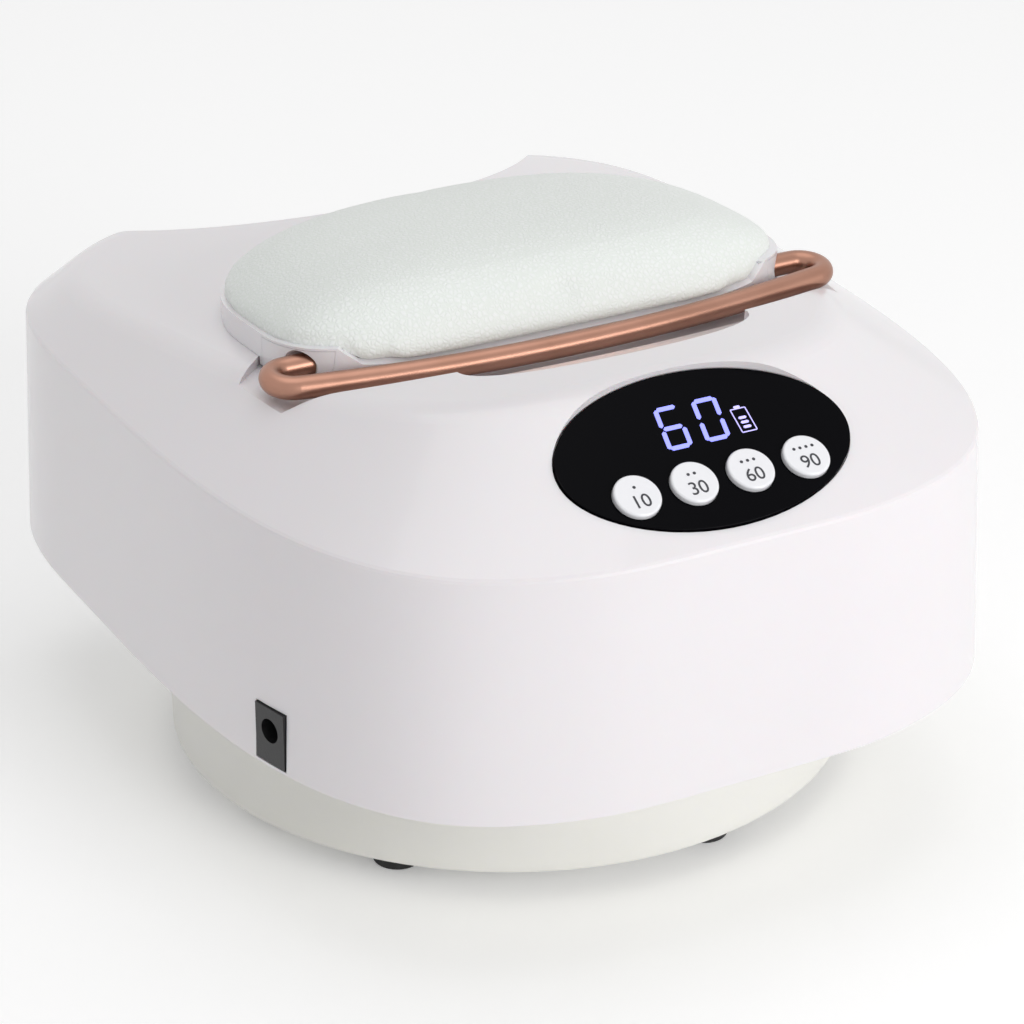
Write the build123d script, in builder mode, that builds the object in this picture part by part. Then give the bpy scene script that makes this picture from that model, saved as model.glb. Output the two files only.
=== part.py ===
from build123d import *
import os
from math import cos, sin, tan, radians, sqrt, pi, hypot

# Cordless nail lamp. Millimetres, +Z up, control panel towards -Y, hand opening towards +Y.
# The origin is on the table, under the middle of the shell's footprint.

# Heights above the table
foot_height = 6.0
skirt_z = 7.0
shell_z = 43.8
rim_z = 107.3

# Shell outline at the rim, measured from the drum's centre
wall = 3.0
rim_half_width = 104.6
rim_front = 121.0
rear_round = 124.0
rear_face = 108.0
waist_y = 36.8
draft_reach = 2.4
front_fullness = 3.35
rear_fullness = 3.7
rim_round = 1.6

# Sloping band above the rim, and the crown that closes it
band_rise = 33.0
front_slope = 35.0
side_slope = 35.0
rear_run = 14.0
top_fullness = 3.2
facet_drop = 0.4
facet_inset = 1.7
crown_z = 129.7
crown_slope = 3.9
crown_radius = 515.0
crown_round = 16.0

# Hollow brow over the hand opening
brow_y = 77.0
brow_radius = 84.0
brow_facets = (14.0, 32.0, 48.0, 60.0)
arch_half_width = 62.0
arch_top_z = 80.0
arch_round = 20.0

# Drum, deck and tray
drum_inset = 12.6
drum_wall = 2.5
deck_z = 47.0
deck_thickness = 2.5
deck_gap = 0.6
ledge_width = 9.5
ledge_thickness = 2.0
tray_gap = 2.0
tray_thickness = 2.4
tray_clearance = 0.3
tray_lip = 3.0
foot_radius = 6.5
foot_inset = 13.0
foot_angles = (-139.5, -78.7, 40.5, 101.3)
foot_sink = 1.0
boss_radius = 17.0
boss_inset = 22.0
boss_y = -14.0
boss_drop = 3.4
magnet_radius = 3.5
magnet_thickness = 1.6
magnet_angles = (-130.0, -50.0, 15.0, 165.0)

# Chamber liner and its lamps
liner_foot_gap = 3.5
liner_top_radius = 72.0
liner_top_z = 82.0
liner_wall = 1.6
liner_round = 7.0
liner_flange = 3.5
led_radius = 4.0
led_hole_gap = 0.5
led_sink = 2.6
led_rings = ((0.0, 1), (0.375, 6), (0.694, 12))
board_thickness = 1.6
ceiling_board_inset = 14.0
board_gap = 0.3
side_board_gap = 3.1
side_board_z = 62.0
side_board_length = 62.0
side_board_height = 20.0
side_led_pitch = 20.0
sensor_radius = 3.0
sensor_inset = 11.0

# Control panel
panel_y = -98.1
panel_z = 122.1
panel_tilt = 30.0
panel_half_length = 39.5
panel_half_height = 22.5
panel_thickness = 2.5
panel_gap = 0.4
panel_floor = 2.5
recess_flare = 5.0
recess_rise = 20.0
button_radius = 6.0
button_pitch = 15.6
button_row = -9.4
button_proud = 1.4
button_gap = 0.2
button_flange = 0.8
button_flange_thickness = 1.5
button_stem_radius = 2.0
button_travel = 0.8
button_times = (10, 30, 60, 90)
switch_size = 6.0
switch_height = 3.5
stem_gap = 0.3
module_length = 36.0
module_height = 15.0
module_row = 7.4
panel_board_length = 62.0
panel_board_height = 32.0
panel_board_depth = 12.0
standoff_x = 26.0
standoff_row = 6.0
standoff_radius = 2.5

# Cushion and its frame, on the crown
cushion_half_width = 73.0
cushion_front = 31.9
cushion_rear = 57.0
cushion_waist = 4.0
cushion_front_fullness = 4.2
cushion_rear_fullness = 2.6
cushion_frame_wall = 2.2
cushion_frame_height = 1.4
cushion_gap = 0.5
seat_gap = 0.1
cushion_board_top = 0.9
cushion_height = 14.6
apron_y = -20.0
apron_fall = 20.0
apron_half_width = 56.0
apron_flare = 55.0
apron_gap = 0.3
cushion_profile = ((0.0, 0.985), (0.25, 1.0), (0.6, 0.93), (0.85, 0.75), (1.0, 0.4))

# Carrying handle and the groove that it lies in
bar_radius = 3.0
bar_pivot_y = -19.8
bar_pivot_z = 127.5
bar_reach = 18.1
bar_bend = 5.5
bar_bend_gap = 0.6
bar_stub = 12.0
bar_droop = 3.0
bush_wall = 1.0
bush_clearance = 0.05
hinge_block_front = 26.0
hinge_block_rear = 6.0
hinge_block_length = 13.0
hinge_block_gap = 0.1
hinge_block_drop = 0.8
hinge_block_rise = 0.7
groove_floor_z = 122.2
groove_wall = 2.5
groove_front = 55.2
groove_end = (14.4, -28.0)
groove_tip = (11.9, -15.0)
groove_back = (-4.6, 0.0)
groove_clearance = 0.5
scoop_half_width = 41.0
scoop_half_depth = 15.0
scoop_front = 65.0
scoop_fall = 20.0
scoop_z = 134.0

# Battery pack
cell_radius = 9.2
cell_length = 65.0
cell_count = 4
cell_gap = 0.4
holder_wall = 1.8
holder_height = 9.0
strap_width = 16.0
strap_thickness = 1.0

# Power inlet, measured along the left wall
jack_angle = 192.87
jack_inset = 4.1
jack_y = -63.2
jack_width = 11.0
jack_height = 15.2
jack_z = 52.5
jack_depth = 9.0
jack_reach = 12.0
jack_hole_z = 54.0
jack_hole_radius = 3.2
jack_pin_radius = 1.0
jack_recess = 0.6

# Screws
screw_radius = 1.5
screw_head_radius = 2.8
screw_head_height = 1.8
screw_clearance = 0.2
post_radius = 4.0
post_inset = 12.5
post_angles = (-39.5, -140.5, 37.0, 143.0)
cushion_screw_x = 40.0
cushion_screw_front = 14.0
cushion_screw_rear = 34.0
cushion_screw_seat = 0.4

beyond = 200.0
quarter_steps = 6

mid_y = (rim_front + draft_reach - rear_face) / 2
drum_radius = rim_half_width - drum_inset
liner_foot_radius = drum_radius - drum_wall - liner_foot_gap
bar_bend_x = cushion_half_width + bar_bend_gap
hinge_block_inner = cushion_half_width - hinge_block_length
ceiling_board_radius = liner_top_radius - ceiling_board_inset
sensor_y = liner_top_radius - sensor_inset
crown = Plane(
    origin=(0, mid_y, crown_z),
    x_dir=(1, 0, 0),
    z_dir=(0, sin(radians(crown_slope)), cos(radians(crown_slope))),
)
panel = Plane(
    origin=(0, mid_y + panel_y, panel_z),
    x_dir=(1, 0, 0),
    z_dir=(0, -sin(radians(panel_tilt)), cos(radians(panel_tilt))),
)
apron = Plane(
    origin=crown.from_local_coords((0, apron_y, cushion_board_top + seat_gap)),
    x_dir=(1, 0, 0),
    z_dir=(0, -sin(radians(apron_fall)), cos(radians(apron_fall))),
)
bar_plane = Plane(
    origin=(0, mid_y + bar_pivot_y, bar_pivot_z),
    x_dir=(1, 0, 0),
    z_dir=(0, sin(radians(bar_droop)), -cos(radians(bar_droop))),
)


def level(z):
    """Horizontal plane at height z, centred on the drum."""
    return Plane((0, mid_y, z))


def rounded_outline(half_width, front, rear, waist, front_full, rear_full):
    """Four quarters of a closed curve: two half superellipses that meet at their widest place."""
    quarters = []
    for side, end, reach, full in (
        (1, -1, front + waist, front_full),
        (-1, -1, front + waist, front_full),
        (-1, 1, rear - waist, rear_full),
        (1, 1, rear - waist, rear_full),
    ):
        points = []
        for step in range(quarter_steps + 1):
            turn = pi / 2 * step / quarter_steps
            across = half_width * cos(turn) ** (2 / full)
            along = reach * sin(turn) ** (2 / full)
            points.append((side * across, waist + end * along))
        points[-1] = (0, points[-1][1])
        quarters.append((points, ((0, end), (-side, 0))))
    return quarters


def shell_outline(half_width, front, rear, rear_full):
    return rounded_outline(half_width, front, rear, waist_y, front_fullness, rear_full)


def cushion_outline(inset, share=1):
    """Outline of the cushion, drawn in by an inset and shrunk about its middle."""
    middle = (cushion_rear - cushion_front) / 2
    return rounded_outline(
        share * (cushion_half_width - inset),
        share * (cushion_front - inset + middle) - middle,
        share * (cushion_rear - inset - middle) + middle,
        share * (cushion_waist - middle) + middle,
        cushion_front_fullness,
        cushion_rear_fullness,
    )


def cheek_x(y):
    """Half width of the cushion frame at a place along it."""
    share = (cushion_waist - y) / (cushion_front + cushion_waist)
    return cushion_half_width * (1 - share**cushion_front_fullness) ** (1 / cushion_front_fullness)


def closed_face(quarters):
    """Face inside four quarter curves that run smoothly into each other."""
    with BuildSketch(mode=Mode.PRIVATE) as face:
        with BuildLine():
            for points, tangents in quarters:
                Spline(*points, tangents=tangents)
        make_face()
    return face.sketch


def band_outline(share):
    """Outline of the sloping band at a share of its rise."""
    return shell_outline(
        rim_half_width - share * band_rise / tan(radians(side_slope)),
        rim_front - share * band_rise / tan(radians(front_slope)),
        rear_round - share * rear_run,
        rear_fullness + share * (top_fullness - rear_fullness),
    )


def rim_outline(inset):
    """Outline of the rim, drawn in by an inset."""
    return shell_outline(rim_half_width - inset, rim_front - inset, rear_round - inset, rear_fullness)


def shell_form():
    """Solid form of the lamp body: a drafted wall, a rounded rim, a sloping band and a curved crown."""
    half_turn = radians(90 - side_slope) / 2
    touch = rim_round * tan(half_turn)
    cut_back = rim_round * (1 / cos(half_turn) - 1)
    band_start = touch * sin(radians(side_slope))
    with BuildPart() as form:
        for z, outline in (
            (shell_z, rim_outline(-draft_reach)),
            (rim_z - touch, rim_outline(0)),
            (rim_z - cut_back * sin(half_turn), rim_outline(cut_back * cos(half_turn))),
            (rim_z + band_start, band_outline(band_start / band_rise)),
            (rim_z + band_rise, band_outline(1)),
        ):
            with BuildSketch(level(z)):
                add(closed_face(outline))
        loft(ruled=True)
        add(under_crown(0), mode=Mode.INTERSECT)
    return form.part


def many_sided(quarters):
    """Corners of a many-sided outline that runs just inside a curved one."""
    corners = []
    for index, (points, ends) in enumerate(quarters):
        corners += points[1:] if index % 2 == 0 else points[-2::-1]
    return corners


def inner_outline(inset):
    return many_sided(rim_outline(inset))


def inner_form():
    """Space inside the shell, with flat sides and facets under the band."""
    inner_rim = rim_z - facet_drop * wall
    top = shell_outline(
        rim_half_width - band_rise / tan(radians(side_slope)) - facet_inset * wall,
        rim_front - band_rise / tan(radians(front_slope)) - facet_inset * wall,
        rear_round - rear_run - facet_inset * wall,
        top_fullness,
    )
    with BuildPart() as block:
        with BuildSketch(level(shell_z - wall)):
            Polygon(*inner_outline(wall), align=None)
        extrude(amount=inner_rim - shell_z + wall)
        with BuildSketch(level(inner_rim)):
            Polygon(*inner_outline(wall), align=None)
        with BuildSketch(level(rim_z + band_rise)):
            Polygon(*many_sided(top), align=None)
        loft(ruled=True)
        add(under_crown(-wall), mode=Mode.INTERSECT)
    return block.part


def crown_section(rise):
    """Plane square to the crown's length, with its origin on the crown or above it."""
    return Plane(origin=crown.from_local_coords((0, 0, rise)), x_dir=(1, 0, 0), z_dir=-crown.y_dir)


def under_crown(rise):
    """Everything below the crown's curved surface, raised by a gap."""
    fall = crown_radius - sqrt(crown_radius**2 - beyond**2)
    with BuildPart() as block:
        with BuildSketch(crown_section(rise)):
            with BuildLine():
                ThreePointArc((-beyond, -fall), (0, 0), (beyond, -fall))
                Polyline((beyond, -fall), (beyond, -beyond), (-beyond, -beyond), (-beyond, -fall))
            make_face()
        extrude(amount=beyond, both=True)
    return block.part


def rear_cut():
    """What the concave brow and the flat rear face take away."""
    with BuildPart() as cut:
        with BuildSketch(level(0)):
            with Locations((0, brow_y + brow_radius)):
                Circle(brow_radius)
            with Locations((0, rear_face + beyond / 2)):
                Rectangle(2 * beyond, beyond)
        extrude(amount=beyond)
    return cut.part


def behind_closing_wall(inset):
    """Everything behind the inner face of the closing wall, whose facets follow the brow."""
    back = rear_face - inset
    right = [(x, brow_y + brow_radius - sqrt((brow_radius + inset) ** 2 - x**2)) for x in brow_facets]
    right += [(arch_half_width + wall, back), (beyond, back), (beyond, beyond)]
    with BuildPart() as cut:
        with BuildSketch(level(0)):
            Polygon(*[(-x, y) for x, y in reversed(right)], *right, align=None)
        extrude(amount=beyond)
    return cut.part


def arch(inset):
    """The hand opening's profile, carried back from the chamber's middle."""
    plane = Plane(origin=(0, mid_y, 0), x_dir=(-1, 0, 0), z_dir=(0, 1, 0))
    height = arch_top_z - inset
    with BuildPart() as opening:
        with BuildSketch(plane):
            with Locations((0, height / 2)):
                RectangleRounded(2 * (arch_half_width - inset), height, arch_round)
            with Locations((0, height / 4)):
                Rectangle(2 * (arch_half_width - inset), height / 2)
        extrude(amount=beyond)
    return opening.part


def groove(grow, floor_z):
    """The handle's groove as a block, grown outwards by the wall or shrunk by a gap."""
    end = (bar_bend_x + groove_end[0] + grow, groove_end[1] - grow / 2)
    tip = (bar_bend_x + groove_tip[0] + grow, groove_tip[1] + grow / 2)
    back = (bar_bend_x + groove_back[0] + grow / 2, groove_back[1] + grow)
    with BuildPart() as block:
        with BuildSketch(level(floor_z)):
            with BuildLine():
                ThreePointArc((-end[0], end[1]), (0, -groove_front - grow), end)
                Polyline(end, tip, back, (-back[0], back[1]), (-tip[0], tip[1]), (-end[0], end[1]))
            make_face()
        extrude(amount=beyond / 4)
    return block.part


def recess():
    """The panel's oval recess, which flares as it rises."""
    length = panel_half_length + panel_gap
    height = panel_half_height + panel_gap
    with BuildPart() as cone:
        with BuildSketch(panel.offset(-panel_thickness)):
            Ellipse(length, height)
        extrude(amount=panel_thickness)
        with BuildSketch(panel):
            Ellipse(length, height)
        with BuildSketch(panel.offset(recess_rise)):
            Ellipse(length + recess_flare, height + recess_flare)
        loft()
    return cone.part


def panel_cup():
    """Housing of the recess on the inside of the shell, as a block with round ends."""
    length = panel_half_length + panel_gap + recess_flare + panel_floor
    height = panel_half_height + panel_gap + recess_flare + panel_floor
    with BuildPart() as cup:
        with BuildSketch(panel.offset(-panel_thickness - panel_floor)):
            SlotOverall(2 * length, 2 * height)
        extrude(amount=recess_rise + panel_thickness + panel_floor)
    return cup.part


def jack_plane(out):
    """Plane on the left wall with its normal pointing out of the inlet."""
    heading = (cos(radians(jack_angle)), sin(radians(jack_angle)), 0)
    return Plane(
        origin=(jack_inset - rim_half_width + out * heading[0], mid_y + jack_y + out * heading[1], 0),
        x_dir=(-heading[1], heading[0], 0),
        z_dir=heading,
    )


def button_place(index):
    """Button centre on the panel."""
    return (button_pitch * (index - (len(button_times) - 1) / 2), button_row)


def on_ring(radius, angle):
    return (radius * cos(radians(angle)), radius * sin(radians(angle)))


def led_places():
    places = []
    for share, count in led_rings:
        places += [on_ring(share * liner_top_radius, 360 * k / count + 15) for k in range(count)]
    return places


def ring_places(inset, angles):
    """Places on a ring inside the drum's outer face, or outside it for a negative inset."""
    return [on_ring(drum_radius - inset, angle) for angle in angles]


foot_places = ring_places(foot_inset, foot_angles)
magnet_places = ring_places(drum_wall + ledge_width / 2, magnet_angles)
post_places = ring_places(-post_inset, post_angles)


pieces = {}


def keep(builder, name):
    builder.part.label = name
    pieces[name] = builder.part


# Outer shell
with BuildPart() as cavity:
    add(inner_form())
    add(groove(groove_wall, groove_floor_z - groove_wall), mode=Mode.SUBTRACT)
    add(panel_cup(), mode=Mode.SUBTRACT)
    with BuildSketch(level(deck_z + deck_thickness)):
        with Locations(*post_places):
            Circle(post_radius)
    extrude(amount=rim_z + band_rise - deck_z, mode=Mode.SUBTRACT)
    with BuildSketch(panel.offset(-panel_board_depth)):
        with Locations((standoff_x, standoff_row), (-standoff_x, standoff_row)):
            Circle(standoff_radius)
    extrude(amount=panel_board_depth - panel_thickness, mode=Mode.SUBTRACT)
    add(behind_closing_wall(wall), mode=Mode.SUBTRACT)

with BuildPart() as outer_shell:
    add(shell_form())
    crown_face = outer_shell.faces().sort_by(Axis.Z)[-1]
    fillet(crown_face.edges(), radius=crown_round)
    add(cavity.part, mode=Mode.SUBTRACT)
    add(groove(0, groove_floor_z), mode=Mode.SUBTRACT)
    add(recess(), mode=Mode.SUBTRACT)
    scoop = Plane(
        origin=(0, mid_y - scoop_front + scoop_half_depth * cos(radians(scoop_fall)),
                scoop_z - scoop_half_depth * sin(radians(scoop_fall))),
        x_dir=(1, 0, 0),
        z_dir=(0, sin(radians(scoop_fall)), cos(radians(scoop_fall))),
    )
    with BuildSketch(scoop):
        Ellipse(scoop_half_width, scoop_half_depth)
    extrude(amount=recess_rise, mode=Mode.SUBTRACT)
    add(arch(0), mode=Mode.SUBTRACT)
    with BuildSketch(panel.offset(-panel_thickness - panel_floor)):
        for index in range(len(button_times)):
            with Locations(button_place(index)):
                Circle(button_radius + button_flange + button_gap)
        with Locations((0, module_row)):
            Rectangle(module_length + 2 * board_gap, module_height + 2 * board_gap)
    extrude(amount=panel_floor, mode=Mode.SUBTRACT)
    with BuildSketch(jack_plane(-jack_reach)):
        with Locations((0, jack_z)):
            Rectangle(jack_width + 2 * board_gap, jack_height + 2 * board_gap)
    extrude(amount=2 * jack_reach, mode=Mode.SUBTRACT)
    with BuildSketch(level(deck_z + deck_thickness)):
        with Locations(*post_places):
            Circle(screw_radius)
    extrude(amount=4 * post_radius, mode=Mode.SUBTRACT)
    with BuildSketch(crown.offset(-crown_round)):
        with Locations(
            (cushion_screw_x, cushion_screw_rear), (-cushion_screw_x, cushion_screw_rear),
            (cushion_screw_x, cushion_screw_front), (-cushion_screw_x, cushion_screw_front),
        ):
            Circle(screw_radius + screw_clearance)
    extrude(amount=2 * crown_round, mode=Mode.SUBTRACT)
    add(rear_cut(), mode=Mode.SUBTRACT)
keep(outer_shell, "outer_shell")

# Lower housing: the deck that closes the shell, and the drum below it
with BuildPart() as base_drum:
    with BuildSketch(level(deck_z)):
        Polygon(*inner_outline(wall + deck_gap), align=None)
    extrude(amount=deck_thickness)
    add(behind_closing_wall(wall + deck_gap), mode=Mode.SUBTRACT)
    with BuildSketch(level(skirt_z)):
        Circle(drum_radius)
    extrude(amount=deck_z + deck_thickness - skirt_z)
    with BuildSketch(level(skirt_z)):
        Circle(drum_radius - drum_wall)
    extrude(amount=deck_z + deck_thickness - skirt_z, mode=Mode.SUBTRACT)
    ledge_z = foot_height + tray_thickness + tray_clearance
    with BuildSketch(level(ledge_z)):
        Circle(drum_radius - drum_wall / 2)
        Circle(drum_radius - drum_wall - ledge_width, mode=Mode.SUBTRACT)
        with Locations(*magnet_places):
            Circle(magnet_radius, mode=Mode.SUBTRACT)
    extrude(amount=ledge_thickness)
    with BuildSketch(level(0)):
        with Locations((0, beyond / 2)):
            Rectangle(2 * (arch_half_width + drum_wall), beyond)
    extrude(amount=beyond, mode=Mode.SUBTRACT)
    with BuildSketch(level(deck_z)):
        with Locations(*post_places):
            Circle(screw_radius + screw_clearance)
    extrude(amount=deck_thickness, mode=Mode.SUBTRACT)
    with BuildSketch(jack_plane(-jack_reach)):
        with Locations((0, jack_z)):
            Rectangle(jack_width + 2 * board_gap, jack_height + 2 * board_gap)
    extrude(amount=2 * jack_reach, mode=Mode.SUBTRACT)
keep(base_drum, "base_drum")

with BuildPart() as body_magnets:
    with BuildSketch(level(ledge_z + ledge_thickness - magnet_thickness)):
        with Locations(*magnet_places):
            Circle(magnet_radius)
    extrude(amount=magnet_thickness)
keep(body_magnets, "body_magnets")

# Magnet-held tray with its feet
tray_radius = drum_radius - drum_wall - tray_gap
with BuildPart() as bottom_tray:
    with BuildSketch(level(foot_height)):
        Circle(tray_radius)
    extrude(amount=tray_thickness)
    with BuildSketch(level(foot_height + tray_thickness)):
        Circle(drum_radius - drum_wall - ledge_width - tray_gap)
        Circle(drum_radius - drum_wall - ledge_width - tray_gap - tray_lip, mode=Mode.SUBTRACT)
    extrude(amount=tray_lip)
    with BuildSketch(level(0)):
        with Locations((0, beyond / 2)):
            Rectangle(2 * arch_half_width, beyond)
    extrude(amount=foot_height + tray_thickness + tray_lip, mode=Mode.SUBTRACT)
    with BuildSketch(level(foot_height)):
        Circle(tray_radius)
    extrude(amount=tray_thickness)
    with BuildSketch(level(foot_height + tray_thickness - magnet_thickness)):
        with Locations(*magnet_places):
            Circle(magnet_radius)
    extrude(amount=magnet_thickness, mode=Mode.SUBTRACT)
    with BuildSketch(level(foot_height)):
        with Locations(*foot_places):
            Circle(foot_radius + seat_gap)
    extrude(amount=foot_sink, mode=Mode.SUBTRACT)
keep(bottom_tray, "bottom_tray")

with BuildPart() as tray_magnets:
    with BuildSketch(level(foot_height + tray_thickness - magnet_thickness)):
        with Locations(*magnet_places):
            Circle(magnet_radius)
    extrude(amount=magnet_thickness)
keep(tray_magnets, "tray_magnets")

with BuildPart() as tray_bosses:
    with BuildSketch(level(foot_height - boss_drop)):
        with Locations((drum_radius - boss_inset, boss_y), (boss_inset - drum_radius, boss_y)):
            Circle(boss_radius)
    extrude(amount=boss_drop)
    with BuildSketch(level(0)):
        with Locations(*foot_places):
            Circle(foot_radius + board_gap)
    extrude(amount=foot_height, mode=Mode.SUBTRACT)
    fillet(tray_bosses.faces().group_by(Axis.Z)[0].edges(), radius=boss_drop / 3)
keep(tray_bosses, "tray_bosses")

with BuildPart() as rubber_feet:
    with BuildSketch(level(0)):
        with Locations(*foot_places):
            Circle(foot_radius)
    extrude(amount=foot_height + foot_sink)
    fillet(rubber_feet.edges().group_by(Axis.Z)[0], radius=foot_sink)
keep(rubber_feet, "rubber_feet")

# Chamber liner
liner_z = ledge_z + ledge_thickness + tray_clearance


def liner_cone(inset, drop):
    """Tapered chamber form. The inner face is the same form, drawn in by the wall."""
    with BuildPart() as cone:
        with BuildSketch(level(liner_z - drop)):
            Circle(liner_foot_radius - inset)
        with BuildSketch(level(liner_top_z - inset)):
            Circle(liner_top_radius - inset)
        loft()
        fillet(cone.edges().group_by(Axis.Z)[-1], radius=liner_round - inset)
    return cone.part


def liner_radius(z):
    """Outer radius of the liner at a height."""
    share = (z - liner_z) / (liner_top_z - liner_z)
    return liner_foot_radius + share * (liner_top_radius - liner_foot_radius)


flange_z = deck_z + deck_thickness
with BuildPart() as inner_reflector:
    with BuildSketch(level(flange_z)):
        Circle(drum_radius + liner_flange)
        Circle(liner_radius(flange_z) - liner_wall, mode=Mode.SUBTRACT)
    extrude(amount=liner_wall)
    add(arch(-liner_wall - seat_gap), mode=Mode.SUBTRACT)
    add(liner_cone(0, 0))
    add(liner_cone(liner_wall, liner_wall), mode=Mode.SUBTRACT)
    with BuildSketch(level(liner_top_z - 2 * liner_wall)):
        with Locations(*led_places()):
            Circle(led_radius + led_hole_gap)
        with Locations((0, sensor_y)):
            Circle(sensor_radius + led_hole_gap)
    extrude(amount=3 * liner_wall, mode=Mode.SUBTRACT)
    with BuildSketch(Plane.YZ):
        with Locations(*[(mid_y + side_led_pitch * k, side_board_z) for k in (-1, 0, 1)]):
            Circle(led_radius + led_hole_gap)
    extrude(amount=liner_foot_radius, both=True, mode=Mode.SUBTRACT)
    add(arch(0), mode=Mode.SUBTRACT)
keep(inner_reflector, "inner_reflector")

# Sleeve that lines the hand opening between the liner and the closing wall
with BuildPart() as entry_sleeve:
    add(arch(-liner_wall))
    add(arch(0), mode=Mode.SUBTRACT)
    add(liner_cone(-seat_gap, 0), mode=Mode.SUBTRACT)
    add(behind_closing_wall(wall + deck_gap), mode=Mode.SUBTRACT)
    with BuildSketch(level(0)):
        Rectangle(beyond, 2 * beyond)
    extrude(amount=foot_height + tray_thickness + tray_lip + tray_clearance, mode=Mode.SUBTRACT)
    with BuildSketch(level(0)):
        Rectangle(beyond, 2 * beyond)
        Circle(drum_radius - drum_wall - deck_gap, mode=Mode.SUBTRACT)
    extrude(amount=deck_z, mode=Mode.SUBTRACT)
keep(entry_sleeve, "entry_sleeve")

# Ceiling lamps and their board
with BuildPart() as ceiling_board:
    with BuildSketch(level(liner_top_z + board_gap)):
        Circle(ceiling_board_radius)
    extrude(amount=board_thickness)
keep(ceiling_board, "ceiling_led_board")

with BuildPart() as ceiling_leds:
    with BuildSketch(level(liner_top_z - led_sink)):
        with Locations(*led_places()):
            Circle(led_radius)
    extrude(amount=led_sink + board_gap)
    fillet(ceiling_leds.edges().group_by(Axis.Z)[0], radius=led_sink / 2)
keep(ceiling_leds, "ceiling_leds")

with BuildPart() as hand_sensor:
    with BuildSketch(level(liner_top_z - liner_wall)):
        with Locations((0, sensor_y)):
            Circle(sensor_radius)
    extrude(amount=liner_wall + board_gap)
    with BuildSketch(level(liner_top_z + board_gap)):
        with Locations((0, sensor_y)):
            Rectangle(4 * sensor_radius, 1.9 * sensor_radius / 2 + sensor_radius / 2)
    extrude(amount=board_thickness)
    with BuildSketch(level(liner_top_z + board_gap)):
        Circle(ceiling_board_radius + board_gap)
    extrude(amount=board_thickness, mode=Mode.SUBTRACT)
keep(hand_sensor, "hand_sensor")

# Side lamps
side_board_x = liner_radius(side_board_z - side_board_height / 2) + side_board_gap
for side, name in ((-1, "left"), (1, "right")):
    board_face = side * side_board_x
    with BuildPart() as side_board:
        with BuildSketch(Plane(origin=(board_face, mid_y, 0), x_dir=(0, 1, 0), z_dir=(side, 0, 0))):
            with Locations((0, side * side_board_z)):
                Rectangle(side_board_length, side_board_height)
        extrude(amount=board_thickness)
    keep(side_board, f"side_led_board_{name}")
    lamp_x = side * (side_board_x - led_sink - 2 * board_thickness)
    with BuildPart() as side_lamps:
        with BuildSketch(Plane(origin=(lamp_x, mid_y, 0), x_dir=(0, 1, 0), z_dir=(side, 0, 0))):
            with Locations(*[(side_led_pitch * k, side * side_board_z) for k in (-1, 0, 1)]):
                Circle(led_radius)
        extrude(amount=led_sink + 2 * board_thickness)
    keep(side_lamps, f"side_leds_{name}")

# Control panel, buttons and the board behind them
with BuildPart() as display_panel:
    with BuildSketch(panel.offset(-panel_thickness)):
        Ellipse(panel_half_length, panel_half_height)
        for index in range(len(button_times)):
            with Locations(button_place(index)):
                Circle(button_radius + button_gap, mode=Mode.SUBTRACT)
    extrude(amount=panel_thickness)
keep(display_panel, "display_panel")

flange_top = -panel_thickness - button_gap
stem_foot = -panel_board_depth + switch_height + button_travel + stem_gap
for index, minutes in enumerate(button_times):
    with BuildPart() as button:
        with BuildSketch(panel.offset(flange_top)):
            with Locations(button_place(index)):
                Circle(button_radius)
        extrude(amount=button_proud - flange_top)
        fillet(button.edges().sort_by(SortBy.DISTANCE).sort_by(lambda e: panel.to_local_coords(e.center()).Z)[-1],
               radius=button_proud / 2)
        with BuildSketch(panel.offset(flange_top - button_flange_thickness)):
            with Locations(button_place(index)):
                Circle(button_radius + button_flange)
        extrude(amount=button_flange_thickness)
        with BuildSketch(panel.offset(stem_foot)):
            with Locations(button_place(index)):
                Circle(button_stem_radius)
        extrude(amount=flange_top - stem_foot)
    keep(button, f"button_{minutes}")

with BuildPart() as tact_switches:
    with BuildSketch(panel.offset(-panel_board_depth)):
        for index in range(len(button_times)):
            with Locations(button_place(index)):
                Rectangle(switch_size, switch_size)
    extrude(amount=switch_height * 0.6)
    with BuildSketch(panel.offset(-panel_board_depth + switch_height * 0.6)):
        for index in range(len(button_times)):
            with Locations(button_place(index)):
                Circle(button_stem_radius)
    extrude(amount=switch_height * 0.4)
keep(tact_switches, "tact_switches")

with BuildPart() as panel_board:
    with BuildSketch(panel.offset(-panel_board_depth - board_thickness)):
        RectangleRounded(panel_board_length, panel_board_height, button_stem_radius)
    extrude(amount=board_thickness)
keep(panel_board, "control_board")

with BuildPart() as display_module:
    with BuildSketch(panel.offset(-panel_board_depth)):
        with Locations((0, module_row)):
            Rectangle(module_length, module_height)
    extrude(amount=panel_board_depth - panel_thickness - board_gap)
keep(display_module, "display_module")

# Power inlet
with BuildPart() as dc_jack:
    with BuildSketch(jack_plane(-jack_recess)):
        with Locations((0, jack_z)):
            Rectangle(jack_width, jack_height)
        with Locations((0, jack_hole_z)):
            Circle(jack_hole_radius, mode=Mode.SUBTRACT)
    extrude(amount=-jack_depth)
    with BuildSketch(jack_plane(-jack_recess - jack_depth)):
        with Locations((0, jack_z)):
            Rectangle(jack_width, jack_height)
    extrude(amount=-board_thickness)
keep(dc_jack, "dc_jack")

with BuildPart() as jack_pin:
    with BuildSketch(jack_plane(-jack_recess - jack_depth)):
        with Locations((0, jack_hole_z)):
            Circle(jack_pin_radius)
    extrude(amount=jack_depth - 2 * board_thickness)
keep(jack_pin, "jack_pin")

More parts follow.
